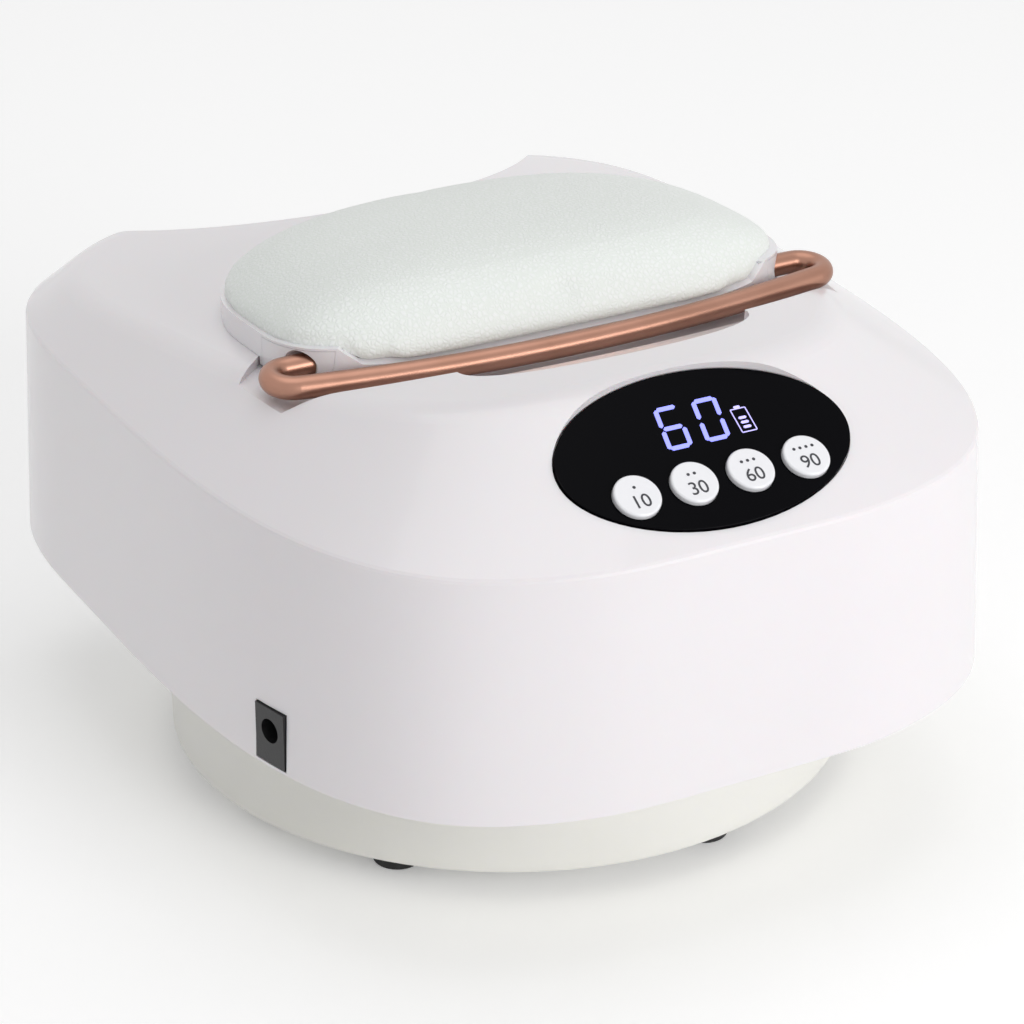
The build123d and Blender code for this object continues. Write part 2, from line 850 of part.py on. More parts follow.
# Battery pack over the chamber's ceiling
cell_pitch = 2 * cell_radius + cell_gap
cell_rows = [cell_pitch * (k - (cell_count - 1) / 2) for k in range(cell_count)]
cell_base_z = liner_top_z + board_gap + board_thickness + seat_gap
cell_z = cell_base_z + holder_wall + cell_radius
cells_y = mid_y + cell_pitch / 2
with BuildPart() as battery_cells:
    with BuildSketch(Plane.YZ.offset(-cell_length / 2)):
        with Locations(*[(cells_y + row, cell_z) for row in cell_rows]):
            Circle(cell_radius)
    extrude(amount=cell_length)
keep(battery_cells, "battery_cells")

holder_length = cell_length + 2 * holder_wall + 2 * cell_gap
holder_width = cell_pitch * cell_count + 2 * holder_wall
with BuildPart() as battery_holder:
    with BuildSketch(Plane((0, cells_y, cell_base_z))):
        Rectangle(holder_length, holder_width)
    extrude(amount=holder_height)
    with BuildSketch(Plane.YZ.offset(-cell_length / 2 - cell_gap)):
        with Locations(*[(cells_y + row, cell_z) for row in cell_rows]):
            Circle(cell_radius + cell_gap / 4)
    extrude(amount=cell_length + 2 * cell_gap, mode=Mode.SUBTRACT)
keep(battery_holder, "battery_holder")

with BuildPart() as battery_strap:
    with BuildSketch(Plane((0, cells_y, cell_z + cell_radius))):
        Rectangle(strap_width, holder_width + 2 * strap_thickness)
    extrude(amount=strap_thickness)
    with BuildSketch(Plane((0, cells_y, cell_base_z))):
        for edge in (-1, 1):
            with Locations((0, edge * (holder_width + strap_thickness) / 2)):
                Rectangle(strap_width, strap_thickness)
    extrude(amount=cell_z + cell_radius - cell_base_z)
keep(battery_strap, "battery_strap")

# Handle, bent from one bar: two stubs, two tight bends and a long bow between them
bow_radius = (bar_bend_x**2 + (bar_reach - bar_bend) ** 2 - bar_bend**2) / (2 * (bar_reach - 2 * bar_bend))
bow_centre = bar_reach - bow_radius
slant = hypot(bar_bend_x, bar_bend - bow_centre)
meet = (bow_radius * bar_bend_x / slant, bow_centre + bow_radius * (bar_bend - bow_centre) / slant)
with BuildPart() as handle_bar:
    with BuildLine(bar_plane) as bar_path:
        Line((bar_bend_x - bar_stub, 0), (bar_bend_x, 0))
        ThreePointArc((bar_bend_x, 0), (bar_bend_x + bar_bend, bar_bend), meet)
        ThreePointArc(meet, (0, bar_reach), (-meet[0], meet[1]))
        ThreePointArc((-meet[0], meet[1]), (-bar_bend_x - bar_bend, bar_bend), (-bar_bend_x, 0))
        Line((-bar_bend_x, 0), (-bar_bend_x + bar_stub, 0))
    with BuildSketch(Plane(bar_path.line @ 0, z_dir=bar_path.line % 0)):
        Circle(bar_radius)
    sweep(path=bar_path.line)
keep(handle_bar, "handle_bar")

# Cushion frame, with a hinge block let into each cheek
block_top = crown.offset(hinge_block_rise)
with BuildPart() as seat:
    add(under_crown(seat_gap))
    add(groove(-groove_clearance, groove_floor_z + hinge_block_drop), mode=Mode.SUBTRACT)


def cushion_prism(inset, low, high):
    """Upright block with the cushion's outline between two heights over the crown."""
    with BuildPart() as block:
        with BuildSketch(crown.offset(low)):
            add(closed_face(cushion_outline(inset)))
        extrude(amount=high - low)
    return block.part


def over_apron(gap):
    """Space that the leather takes where it comes down over the front, raised by a gap."""
    with BuildPart() as block:
        for rise, flare in ((0, 0), (2 * crown_round, apron_flare)):
            with BuildSketch(apron.offset(gap + rise)):
                with Locations((0, -beyond / 4)):
                    Rectangle(2 * (apron_half_width - gap + flare), beyond / 2)
        loft()
    return block.part


def hinge_space(side, gap):
    """Space of one hinge block, with a gap around it."""
    middle = mid_y - (hinge_block_front + hinge_block_rear) / 2
    with BuildPart() as block:
        with BuildSketch(Plane((0, middle, groove_floor_z + hinge_block_drop))):
            with Locations((side * (hinge_block_inner + beyond / 4), 0)):
                Rectangle(beyond / 2 + 2 * gap, hinge_block_front - hinge_block_rear + 2 * gap)
        extrude(amount=beyond / 4)
        with BuildSketch(block_top.offset(gap)):
            Rectangle(2 * beyond, 2 * beyond)
        extrude(amount=beyond / 2, mode=Mode.SUBTRACT)
    return block.part


prism_low = -crown_round
with BuildPart() as cushion_frame:
    add(cushion_prism(0, prism_low, cushion_frame_height))
    add(cushion_prism(cushion_frame_wall, prism_low, cushion_frame_height), mode=Mode.SUBTRACT)
    add(seat.part, mode=Mode.SUBTRACT)
    for side in (-1, 1):
        add(hinge_space(side, hinge_block_gap), mode=Mode.SUBTRACT)
    add(over_apron(-apron_gap), mode=Mode.SUBTRACT)
keep(cushion_frame, "cushion_frame")

for side, name in ((-1, "left"), (1, "right")):
    bore = Plane(origin=(0, mid_y + bar_pivot_y, bar_pivot_z), x_dir=(0, 1, 0), z_dir=(side, 0, 0))
    with BuildPart() as hinge_block:
        add(hinge_space(side, 0))
        add(cushion_prism(0, prism_low, cushion_frame_height), mode=Mode.INTERSECT)
        with BuildSketch(bore):
            Circle(bar_radius + bush_clearance + bush_wall)
        extrude(amount=beyond, mode=Mode.SUBTRACT)
    keep(hinge_block, f"hinge_block_{name}")
    with BuildPart() as bush:
        with BuildSketch(bore.offset(hinge_block_inner + bush_wall)):
            Circle(bar_radius + bush_clearance + bush_wall)
            Circle(bar_radius + bush_clearance, mode=Mode.SUBTRACT)
        extrude(amount=cheek_x(bar_pivot_y - bar_radius) - hinge_block_inner - 2 * bush_wall)
    keep(bush, f"handle_bush_{name}")

with BuildPart() as cushion_board:
    add(cushion_prism(cushion_frame_wall + cushion_gap, prism_low, cushion_board_top))
    add(under_crown(seat_gap), mode=Mode.SUBTRACT)
    for side in (-1, 1):
        add(hinge_space(side, cushion_gap), mode=Mode.SUBTRACT)
    add(over_apron(-apron_gap), mode=Mode.SUBTRACT)
    with BuildSketch(crown.offset(-crown_round)):
        with Locations(
            (cushion_screw_x, cushion_screw_rear), (-cushion_screw_x, cushion_screw_rear),
            (cushion_screw_x, cushion_screw_front), (-cushion_screw_x, cushion_screw_front),
        ):
            Circle(screw_radius)
    extrude(amount=2 * crown_round, mode=Mode.SUBTRACT)
keep(cushion_board, "cushion_board")

# Leather cushion: crowned, with its sides drawn in towards the frame and a drop over the front
with BuildPart() as apron_drop:
    add(cushion_prism(apron_gap, prism_low, cushion_board_top + 2 * seat_gap + cushion_frame_height))
    add(over_apron(apron_gap), mode=Mode.INTERSECT)

with BuildPart() as leather_cushion:
    foot = cushion_board_top + seat_gap
    for rise, share in cushion_profile:
        with BuildSketch(crown.offset(foot + rise * (cushion_height - foot))):
            add(closed_face(cushion_outline(cushion_frame_wall + cushion_gap, share)))
    loft(ruled=True)
    add(apron_drop.part)
keep(leather_cushion, "leather_cushion")

# Screws
with BuildPart() as deck_screws:
    with BuildSketch(level(deck_z - screw_head_height)):
        with Locations(*post_places):
            Circle(screw_head_radius)
    extrude(amount=screw_head_height)
    with BuildSketch(level(deck_z)):
        with Locations(*post_places):
            Circle(screw_radius)
    extrude(amount=deck_thickness + 3 * post_radius)
keep(deck_screws, "deck_screws")

with BuildPart() as cushion_screws:
    places = (
        (cushion_screw_x, cushion_screw_rear), (-cushion_screw_x, cushion_screw_rear),
        (cushion_screw_x, cushion_screw_front), (-cushion_screw_x, cushion_screw_front),
    )
    drop = crown_radius - sqrt(crown_radius**2 - cushion_screw_x**2)
    with BuildSketch(crown.offset(-drop - wall - screw_head_height - cushion_screw_seat)):
        with Locations(*places):
            Circle(screw_head_radius)
    extrude(amount=screw_head_height)
    with BuildSketch(crown.offset(-drop - wall - cushion_screw_seat)):
        with Locations(*places):
            Circle(screw_radius)
    extrude(amount=drop + wall + cushion_screw_seat + cushion_board_top / 2)
keep(cushion_screws, "cushion_screws")

os.makedirs("parts", exist_ok=True)
for name, piece in pieces.items():
    export_step(piece, f"parts/{name}.step")
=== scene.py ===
import bpy
from math import cos, sin, tan, radians, pi
from mathutils import Matrix, Vector


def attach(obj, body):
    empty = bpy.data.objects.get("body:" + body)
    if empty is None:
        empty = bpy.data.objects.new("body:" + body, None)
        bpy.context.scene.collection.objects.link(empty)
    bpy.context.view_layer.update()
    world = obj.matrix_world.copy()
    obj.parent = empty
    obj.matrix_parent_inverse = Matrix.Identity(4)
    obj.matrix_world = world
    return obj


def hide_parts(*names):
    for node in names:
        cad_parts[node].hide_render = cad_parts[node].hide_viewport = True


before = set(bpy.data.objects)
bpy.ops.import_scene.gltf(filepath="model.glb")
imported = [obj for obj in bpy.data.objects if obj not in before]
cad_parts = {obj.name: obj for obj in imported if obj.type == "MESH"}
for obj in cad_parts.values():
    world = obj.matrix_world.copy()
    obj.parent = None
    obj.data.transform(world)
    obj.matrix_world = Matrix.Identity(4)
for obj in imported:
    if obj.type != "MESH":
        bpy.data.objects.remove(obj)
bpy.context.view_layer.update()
print("frame loaded:", len(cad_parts), "nodes")


def clearSelection():
    if bpy.context.mode != "OBJECT":
        bpy.ops.object.mode_set(mode="OBJECT")
    bpy.ops.object.select_all(action="DESELECT")


clearSelection()

# camera: the place and angle that the photograph was taken from
cameraSetup = {"eye": (-0.39943, -0.73242, 0.47397), "turn": -28.414, "tilt": 26.059, "lens": 122.99,
               "sensor": 36}


def addCamera():
    turn, tilt = radians(cameraSetup["turn"]), radians(cameraSetup["tilt"])
    back = Vector((sin(turn) * cos(tilt), -cos(turn) * cos(tilt), sin(tilt)))
    right = Vector((cos(turn), sin(turn), 0))
    up = back.cross(right)
    bpy.ops.object.camera_add()
    camera = bpy.context.object
    camera.name = "viewCamera"
    facing = Matrix((right, up, back)).transposed().to_4x4()
    camera.matrix_world = Matrix.Translation(cameraSetup["eye"]) @ facing
    camera.data.sensor_width = cameraSetup["sensor"]
    camera.data.lens = cameraSetup["lens"]
    bpy.context.scene.camera = camera


addCamera()
print("camera placed")

# materials: how far each finish drifts over a piece
driftSetup = {"low": 0.35, "high": 0.65, "detail": 4.0, "bumpDepth": 0.0002}
plasticSetup = {"tintScale": 9.0, "glossScale": 40.0, "glossSpread": 0.15, "coatRoughness": 0.08}


def plainMaterial(name, colour, roughness, metallic=0.0):
    material = bpy.data.materials.new(name)
    material.use_nodes = True
    shader = material.node_tree.nodes["Principled BSDF"]
    shader.inputs["Base Color"].default_value = (*colour, 1)
    shader.inputs["Roughness"].default_value = roughness
    shader.inputs["Metallic"].default_value = metallic
    return material, shader


def node(material, kind, **inputs):
    made = material.node_tree.nodes.new(kind)
    for key, value in inputs.items():
        made.inputs[key.replace("_", " ")].default_value = value
    return made


def join(material, start, end):
    material.node_tree.links.new(start, end)


def objectPlace(material, stretch=(1, 1, 1)):
    place = node(material, "ShaderNodeTexCoord")
    mapping = node(material, "ShaderNodeMapping", Scale=stretch)
    join(material, place.outputs["Object"], mapping.inputs["Vector"])
    return mapping.outputs["Vector"]


def colourDrift(material, shader, place, light, dark, scale, detail=3.0):
    noise = node(material, "ShaderNodeTexNoise", Scale=scale, Detail=detail)
    ramp = node(material, "ShaderNodeValToRGB")
    ramp.color_ramp.elements[0].position = driftSetup["low"]
    ramp.color_ramp.elements[1].position = driftSetup["high"]
    ramp.color_ramp.elements[0].color = (*dark, 1)
    ramp.color_ramp.elements[1].color = (*light, 1)
    join(material, place, noise.inputs["Vector"])
    join(material, noise.outputs["Fac"], ramp.inputs["Fac"])
    join(material, ramp.outputs["Color"], shader.inputs["Base Color"])
    return noise


def roughnessDrift(material, shader, place, low, high, scale):
    noise = node(material, "ShaderNodeTexNoise", Scale=scale, Detail=driftSetup["detail"])
    spread = node(material, "ShaderNodeMapRange", To_Min=low, To_Max=high)
    join(material, place, noise.inputs["Vector"])
    join(material, noise.outputs["Fac"], spread.inputs["Value"])
    join(material, spread.outputs["Result"], shader.inputs["Roughness"])


def fineBump(material, shader, place, scale, strength, distance=driftSetup["bumpDepth"]):
    noise = node(material, "ShaderNodeTexNoise", Scale=scale, Detail=driftSetup["detail"])
    bump = node(material, "ShaderNodeBump", Strength=strength, Distance=distance)
    join(material, place, noise.inputs["Vector"])
    join(material, noise.outputs["Fac"], bump.inputs["Height"])
    join(material, bump.outputs["Normal"], shader.inputs["Normal"])
    return bump


def moulded(name, light, dark, roughness, coat=0.0, bump=0.05, grain=900):
    material, shader = plainMaterial(name, light, roughness)
    place = objectPlace(material)
    low, high = roughness * (1 - plasticSetup["glossSpread"]), roughness * (1 + plasticSetup["glossSpread"])
    colourDrift(material, shader, place, light, dark, plasticSetup["tintScale"])
    roughnessDrift(material, shader, place, low, high, plasticSetup["glossScale"])
    fineBump(material, shader, place, grain, bump)
    shader.inputs["Coat Weight"].default_value = coat
    shader.inputs["Coat Roughness"].default_value = plasticSetup["coatRoughness"]
    return material


def shellPlastic():
    material = moulded("pearlShellPlastic", (0.84, 0.805, 0.83), (0.82, 0.79, 0.81), 0.30,
                       coat=0.5, bump=0.02, grain=500)
    shader = material.node_tree.nodes["Principled BSDF"]
    shader.inputs["Subsurface Weight"].default_value = 0.08
    shader.inputs["Subsurface Scale"].default_value = 0.004
    return material


def drumPlastic():
    material = moulded("milkyDrumPlastic", (0.91, 0.90, 0.84), (0.88, 0.87, 0.80), 0.42, coat=0.1, bump=0.04)
    shader = material.node_tree.nodes["Principled BSDF"]
    shader.inputs["Subsurface Weight"].default_value = 0.35
    shader.inputs["Subsurface Radius"].default_value = (1.0, 1.0, 0.8)
    shader.inputs["Subsurface Scale"].default_value = 0.008
    return material


roseSetup = {"tint": (0.40, 0.215, 0.155), "light": (0.41, 0.22, 0.16), "dark": (0.36, 0.19, 0.135),
             "tintScale": 60.0, "brushing": (60, 900, 900), "plainRoughness": 0.33, "roughness": (0.30, 0.40),
             "bump": 0.12, "bumpDepth": 0.0001}


def roseMetal():
    material, shader = plainMaterial("satinRoseMetal", roseSetup["tint"], roseSetup["plainRoughness"], 1.0)
    along = objectPlace(material, roseSetup["brushing"])
    place = objectPlace(material)
    colourDrift(material, shader, place, roseSetup["light"], roseSetup["dark"], roseSetup["tintScale"])
    roughnessDrift(material, shader, along, *roseSetup["roughness"], 1.0)
    fineBump(material, shader, along, 1.0, roseSetup["bump"], roseSetup["bumpDepth"])
    return material


# leather tints: painted shade in the valleys between pebbles, painted light on the pebble crowns
leatherSetup = {"tint": (0.83, 0.86, 0.83), "paintedValleyShade": (0.80, 0.84, 0.80), "crown": (0.85, 0.875, 0.86),
                "roughness": 0.5, "pebbleScale": 760.0, "pebbleEdge": 0.32, "wobbleScale": 260.0,
                "wobble": 0.0009, "poreScale": 2600.0, "poreShare": 0.18, "bump": 0.4, "bumpDepth": 0.0002,
                "sheen": 0.15, "coat": 0.12, "coatRoughness": 0.35}


def pebbledLeather():
    material, shader = plainMaterial("pebbledMintLeather", leatherSetup["tint"], leatherSetup["roughness"])
    place = objectPlace(material)
    wobble = node(material, "ShaderNodeTexNoise", Scale=leatherSetup["wobbleScale"], Detail=2.0)
    push = node(material, "ShaderNodeVectorMath")
    push.operation = "MULTIPLY_ADD"
    push.inputs[1].default_value = [leatherSetup["wobble"]] * 3
    cells = node(material, "ShaderNodeTexVoronoi", Scale=leatherSetup["pebbleScale"])
    cells.feature = "DISTANCE_TO_EDGE"
    shape = node(material, "ShaderNodeMapRange", From_Max=leatherSetup["pebbleEdge"])
    shape.interpolation_type = "SMOOTHSTEP"
    pores = node(material, "ShaderNodeTexNoise", Scale=leatherSetup["poreScale"], Detail=2.0)
    mixed = node(material, "ShaderNodeMath")
    mixed.operation = "MULTIPLY_ADD"
    mixed.inputs[1].default_value = leatherSetup["poreShare"]
    bump = node(material, "ShaderNodeBump", Strength=leatherSetup["bump"], Distance=leatherSetup["bumpDepth"])
    join(material, place, wobble.inputs["Vector"])
    join(material, wobble.outputs["Color"], push.inputs[0])
    join(material, place, push.inputs[2])
    join(material, push.outputs["Vector"], cells.inputs["Vector"])
    join(material, cells.outputs["Distance"], shape.inputs["Value"])
    join(material, place, pores.inputs["Vector"])
    join(material, pores.outputs["Fac"], mixed.inputs[0])
    join(material, shape.outputs["Result"], mixed.inputs[2])
    join(material, mixed.outputs["Value"], bump.inputs["Height"])
    join(material, bump.outputs["Normal"], shader.inputs["Normal"])
    # pebble crowns tinted lighter and the valleys between them darker: painted light and shade on the grain
    tint = node(material, "ShaderNodeMix")
    tint.data_type = "RGBA"
    tint.inputs[6].default_value = (*leatherSetup["paintedValleyShade"], 1)
    tint.inputs[7].default_value = (*leatherSetup["crown"], 1)
    join(material, shape.outputs["Result"], tint.inputs["Factor"])
    join(material, tint.outputs[2], shader.inputs["Base Color"])
    shader.inputs["Sheen Weight"].default_value = leatherSetup["sheen"]
    shader.inputs["Coat Weight"].default_value = leatherSetup["coat"]
    shader.inputs["Coat Roughness"].default_value = leatherSetup["coatRoughness"]
    return material


def circuitBoard():
    material, shader = plainMaterial("circuitBoardGreen", (0.03, 0.18, 0.08), 0.35)
    place = objectPlace(material)
    traces = node(material, "ShaderNodeTexBrick", Scale=160.0, Mortar_Size=0.03)
    traces.inputs["Color1"].default_value = (0.02, 0.16, 0.07, 1)
    traces.inputs["Color2"].default_value = (0.03, 0.19, 0.09, 1)
    traces.inputs["Mortar"].default_value = (0.05, 0.28, 0.13, 1)
    join(material, place, traces.inputs["Vector"])
    join(material, traces.outputs["Color"], shader.inputs["Base Color"])
    fineBump(material, shader, place, scale=700.0, strength=0.05)
    return material


def brushedSteel(name, colour, roughness):
    material, shader = plainMaterial(name, colour, roughness, 1.0)
    place = objectPlace(material, stretch=(1, 1, 12))
    roughnessDrift(material, shader, place, low=roughness * 0.8, high=roughness * 1.3, scale=400.0)
    fineBump(material, shader, place, scale=900.0, strength=0.08, distance=0.0001)
    return material


def fibreBoard():
    material, shader = plainMaterial("fibreBoardTan", (0.45, 0.33, 0.2), 0.8)
    place = objectPlace(material, stretch=(1, 3, 8))
    colourDrift(material, shader, place, (0.48, 0.35, 0.22), (0.36, 0.25, 0.15), scale=300.0, detail=6.0)
    fineBump(material, shader, place, scale=1200.0, strength=0.3)
    return material


def lampResin():
    material = moulded("clearLampResin", (0.80, 0.78, 0.87), (0.74, 0.72, 0.83), 0.12, coat=0.6, bump=0.02)
    shader = material.node_tree.nodes["Principled BSDF"]
    shader.inputs["Transmission Weight"].default_value = 0.35
    return material


def blackPanel():
    material = moulded("glossBlackPanel", (0.002, 0.002, 0.003), (0.0018, 0.0018, 0.0026), 0.22, bump=0.0)
    material.node_tree.nodes["Principled BSDF"].inputs["Specular IOR Level"].default_value = 0.03
    return material


finishes = {
    "shell": shellPlastic(),
    "drum": drumPlastic(),
    "reflector": moulded("chamberReflector", (0.85, 0.85, 0.85), (0.82, 0.82, 0.83), 0.2, coat=0.4),
    "blackGloss": blackPanel(),
    "button": moulded("glossButtonWhite", (0.87, 0.87, 0.90), (0.85, 0.85, 0.88), 0.22, coat=0.6, bump=0.02),
    "black": moulded("satinBlackPlastic", (0.012, 0.012, 0.013), (0.009, 0.009, 0.010), 0.38,
                     bump=0.2, grain=1600),
    "rubber": moulded("mattBlackRubber", (0.016, 0.016, 0.016), (0.011, 0.011, 0.011), 0.65,
                      bump=0.35, grain=1100),
    "nylon": moulded("naturalNylon", (0.70, 0.70, 0.66), (0.66, 0.66, 0.62), 0.45, bump=0.1),
    "wrap": moulded("cellWrapBlue", (0.05, 0.16, 0.36), (0.04, 0.13, 0.30), 0.28, coat=0.3, bump=0.03),
    "steel": brushedSteel("zincSteel", (0.55, 0.55, 0.57), 0.35),
    "nickel": brushedSteel("nickelPlate", (0.68, 0.67, 0.64), 0.22),
    "rose": roseMetal(),
    "leather": pebbledLeather(),
    "circuit": circuitBoard(),
    "fibre": fibreBoard(),
    "resin": lampResin(),
}

nodeFinish = {
    "shell": ["outer_shell", "cushion_frame", "hinge_block_left", "hinge_block_right"],
    "drum": ["base_drum", "bottom_tray", "tray_bosses"],
    "reflector": ["inner_reflector", "entry_sleeve"],
    "blackGloss": ["display_panel"],
    "button": ["button_10", "button_30", "button_60", "button_90"],
    "black": ["display_module", "tact_switches", "dc_jack", "battery_holder", "battery_strap", "hand_sensor"],
    "rubber": ["rubber_feet"],
    "nylon": ["handle_bush_left", "handle_bush_right"],
    "wrap": ["battery_cells"],
    "steel": ["deck_screws", "cushion_screws"],
    "nickel": ["body_magnets", "tray_magnets", "jack_pin"],
    "rose": ["handle_bar"],
    "leather": ["leather_cushion"],
    "circuit": ["ceiling_led_board", "side_led_board_left", "side_led_board_right", "control_board"],
    "fibre": ["cushion_board"],
    "resin": ["ceiling_leds", "side_leds_left", "side_leds_right"],
}
for finish, names in nodeFinish.items():
    for name in names:
        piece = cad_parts[name]
        piece.data.materials.clear()
        piece.data.materials.append(finishes[finish])
print("materials ready:", len(finishes))


# places shared by the pieces on the panel
panelSetup = {"centre": (0, -0.0904, 0.1221), "tilt": 30.0, "row": -0.0094, "pitch": 0.0156, "proud": 0.0014}
panelTilt = radians(panelSetup["tilt"])
panelMatrix = Matrix.Translation(panelSetup["centre"]) @ Matrix.Rotation(panelTilt, 4, "X")


def bakePlace(piece, matrix):
    clearSelection()
    piece.matrix_world = matrix @ piece.matrix_world
    piece.select_set(True)
    bpy.context.view_layer.objects.active = piece
    bpy.ops.object.transform_apply(location=True, rotation=True, scale=True)
    clearSelection()


def joinPieces(pieces, name):
    clearSelection()
    for piece in pieces:
        piece.select_set(True)
    bpy.context.view_layer.objects.active = pieces[0]
    bpy.ops.object.join()
    joined = bpy.context.object
    joined.name = name
    clearSelection()
    return joined


# lit digits and battery sign on the panel
digitSetup = {"height": 0.0126, "width": 0.0069, "stroke": 0.0012, "gap": 0.0002, "lean": 7.8,
              "depth": 0.00012, "tip": 0.42, "shown": "60", "centres": (-0.0051, 0.0054), "row": 0.00725}
segmentsOf = {"6": "acdefg", "0": "abcdef"}


def lightBar(length, across, place, upright):
    clearSelection()
    bpy.ops.mesh.primitive_cube_add(size=1, location=(0, 0, digitSetup["depth"] / 2))
    bar = bpy.context.object
    bar.scale = (length, across, digitSetup["depth"])
    bpy.ops.object.transform_apply(location=False, rotation=False, scale=True)
    bpy.ops.object.mode_set(mode="EDIT")
    bpy.ops.mesh.select_all(action="SELECT")
    bpy.ops.mesh.bisect(plane_co=(0, 0, 0), plane_no=(0, 1, 0))
    bpy.ops.object.mode_set(mode="OBJECT")
    for point in bar.data.vertices:  # pointed ends, as on a lit segment
        if abs(point.co.y) > across / 4:
            point.co.x -= across * digitSetup["tip"] * (1 if point.co.x > 0 else -1)
    if upright:
        bar.rotation_euler = (0, 0, pi / 2)
    bar.location = (place[0], place[1], digitSetup["depth"] / 2)
    bpy.ops.object.transform_apply(location=True, rotation=True, scale=True)
    return bar


def makeDigits():
    high, wide = digitSetup["height"], digitSetup["width"]
    stroke, gap = digitSetup["stroke"], digitSetup["gap"]
    flat, tall = wide - stroke - 2 * gap, high / 2 - stroke / 2 - 2 * gap
    top, side, level = high / 2 - stroke / 2, wide / 2 - stroke / 2, high / 4
    spots = {
        "a": ((0, top), False), "d": ((0, -top), False), "g": ((0, 0), False),
        "b": ((side, level), True), "c": ((side, -level), True),
        "f": ((-side, level), True), "e": ((-side, -level), True),
    }
    bars = []
    for sign, centre in zip(digitSetup["shown"], digitSetup["centres"]):
        for segment in segmentsOf[sign]:
            (x, y), upright = spots[segment]
            place = (x + centre, y + digitSetup["row"])
            bars.append(lightBar(tall if upright else flat, stroke, place, upright))
    digits = joinPieces(bars, "timeDigits")
    slope = sin(radians(digitSetup["lean"]))
    shear = Matrix.Identity(4)
    shear[0][1], shear[0][3] = slope, -slope * digitSetup["row"]
    digits.data.transform(shear)
    bakePlace(digits, panelMatrix)
    return digits


signSetup = {"left": 0.01145, "right": 0.01555, "low": 0.0015, "high": 0.0084, "line": 0.00026,
             "cap": (0.0019, 0.0007), "bar": (0.0023, 0.00075), "rows": (0.0029, 0.0043, 0.00565)}


def makeBatterySign():
    left, right, low, high = (signSetup[key] for key in ("left", "right", "low", "high"))
    line, middle, centre = signSetup["line"], (left + right) / 2, (low + high) / 2
    bars = [
        lightBar(right - left, line, (middle, low), False),
        lightBar(right - left, line, (middle, high), False),
        lightBar(high - low, line, (left, centre), True),
        lightBar(high - low, line, (right, centre), True),
        lightBar(*signSetup["cap"], (middle, high + signSetup["cap"][1] / 2 + line / 2), False),
    ]
    bars += [lightBar(*signSetup["bar"], (middle, row), False) for row in signSetup["rows"]]
    sign = joinPieces(bars, "batterySign")
    bakePlace(sign, panelMatrix)
    return sign


def litMaterial(name, colour, strength):
    material, shader = plainMaterial(name, colour, 0.4)
    place = objectPlace(material)
    noise = node(material, "ShaderNodeTexNoise", Scale=500.0)
    ramp = node(material, "ShaderNodeValToRGB")
    ramp.color_ramp.elements[0].color = (*[0.9 * c for c in colour], 1)
    ramp.color_ramp.elements[1].color = (*colour, 1)
    join(material, place, noise.inputs["Vector"])
    join(material, noise.outputs["Fac"], ramp.inputs["Fac"])
    join(material, ramp.outputs["Color"], shader.inputs["Emission Color"])
    shader.inputs["Emission Strength"].default_value = strength
    return material


digitGlow = litMaterial("violetDigitGlow", (0.26, 0.28, 1.0), 0.85)
signGlow = litMaterial("paleSignGlow", (0.50, 0.46, 0.95), 0.7)
for piece, material in ((makeDigits(), digitGlow), (makeBatterySign(), signGlow)):
    piece.data.materials.clear()
    piece.data.materials.append(material)
    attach(piece, "lamp")
print("digits made")

# numbers on the buttons
labelSetup = {"size": 0.0052, "drop": -0.0021, "dotRow": 0.0022, "dotRadius": 0.00042, "dotPitch": 0.0017,
              "dotSides": 20, "depth": 0.00005, "lift": 0.00003, "ink": (0.035, 0.035, 0.045)}
inkMaterial = moulded("darkPrintInk", labelSetup["ink"], (0.03, 0.03, 0.038), 0.5)
buttonMinutes = (10, 30, 60, 90)


def makeLabel(minutes, index):
    along = panelSetup["pitch"] * (index - (len(buttonMinutes) - 1) / 2)
    place = (along, panelSetup["row"], panelSetup["proud"] + labelSetup["lift"])
    clearSelection()
    bpy.ops.object.text_add(location=(place[0], place[1] + labelSetup["drop"], place[2]))
    words = bpy.context.object
    words.data.body = str(minutes)
    words.data.size = labelSetup["size"]
    words.data.align_x = "CENTER"
    words.data.align_y = "CENTER"
    words.data.extrude = labelSetup["depth"]
    bpy.ops.object.convert(target="MESH")
    bpy.ops.object.transform_apply(location=True, rotation=True, scale=True)
    marks = [words]
    for step in range(index + 1):  # one to four plain dots, by length of cure
        x = place[0] + labelSetup["dotPitch"] * (step - index / 2)
        bpy.ops.mesh.primitive_cylinder_add(vertices=labelSetup["dotSides"], radius=labelSetup["dotRadius"],
                                            depth=2 * labelSetup["depth"],
                                            location=(x, place[1] + labelSetup["dotRow"], place[2]))
        dot = bpy.context.object
        bpy.ops.object.mode_set(mode="EDIT")
        bpy.ops.mesh.select_all(action="SELECT")
        bpy.ops.mesh.bevel(offset=labelSetup["depth"] / 2, segments=1)
        bpy.ops.object.mode_set(mode="OBJECT")
        bpy.ops.object.transform_apply(location=True, rotation=True, scale=True)
        marks.append(dot)
    label = joinPieces(marks, f"label_{minutes}")
    bakePlace(label, panelMatrix)
    label.data.materials.clear()
    label.data.materials.append(inkMaterial)
    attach(label, f"button_{minutes}_cap")


for index, minutes in enumerate(buttonMinutes):
    makeLabel(minutes, index)
print("labels made")

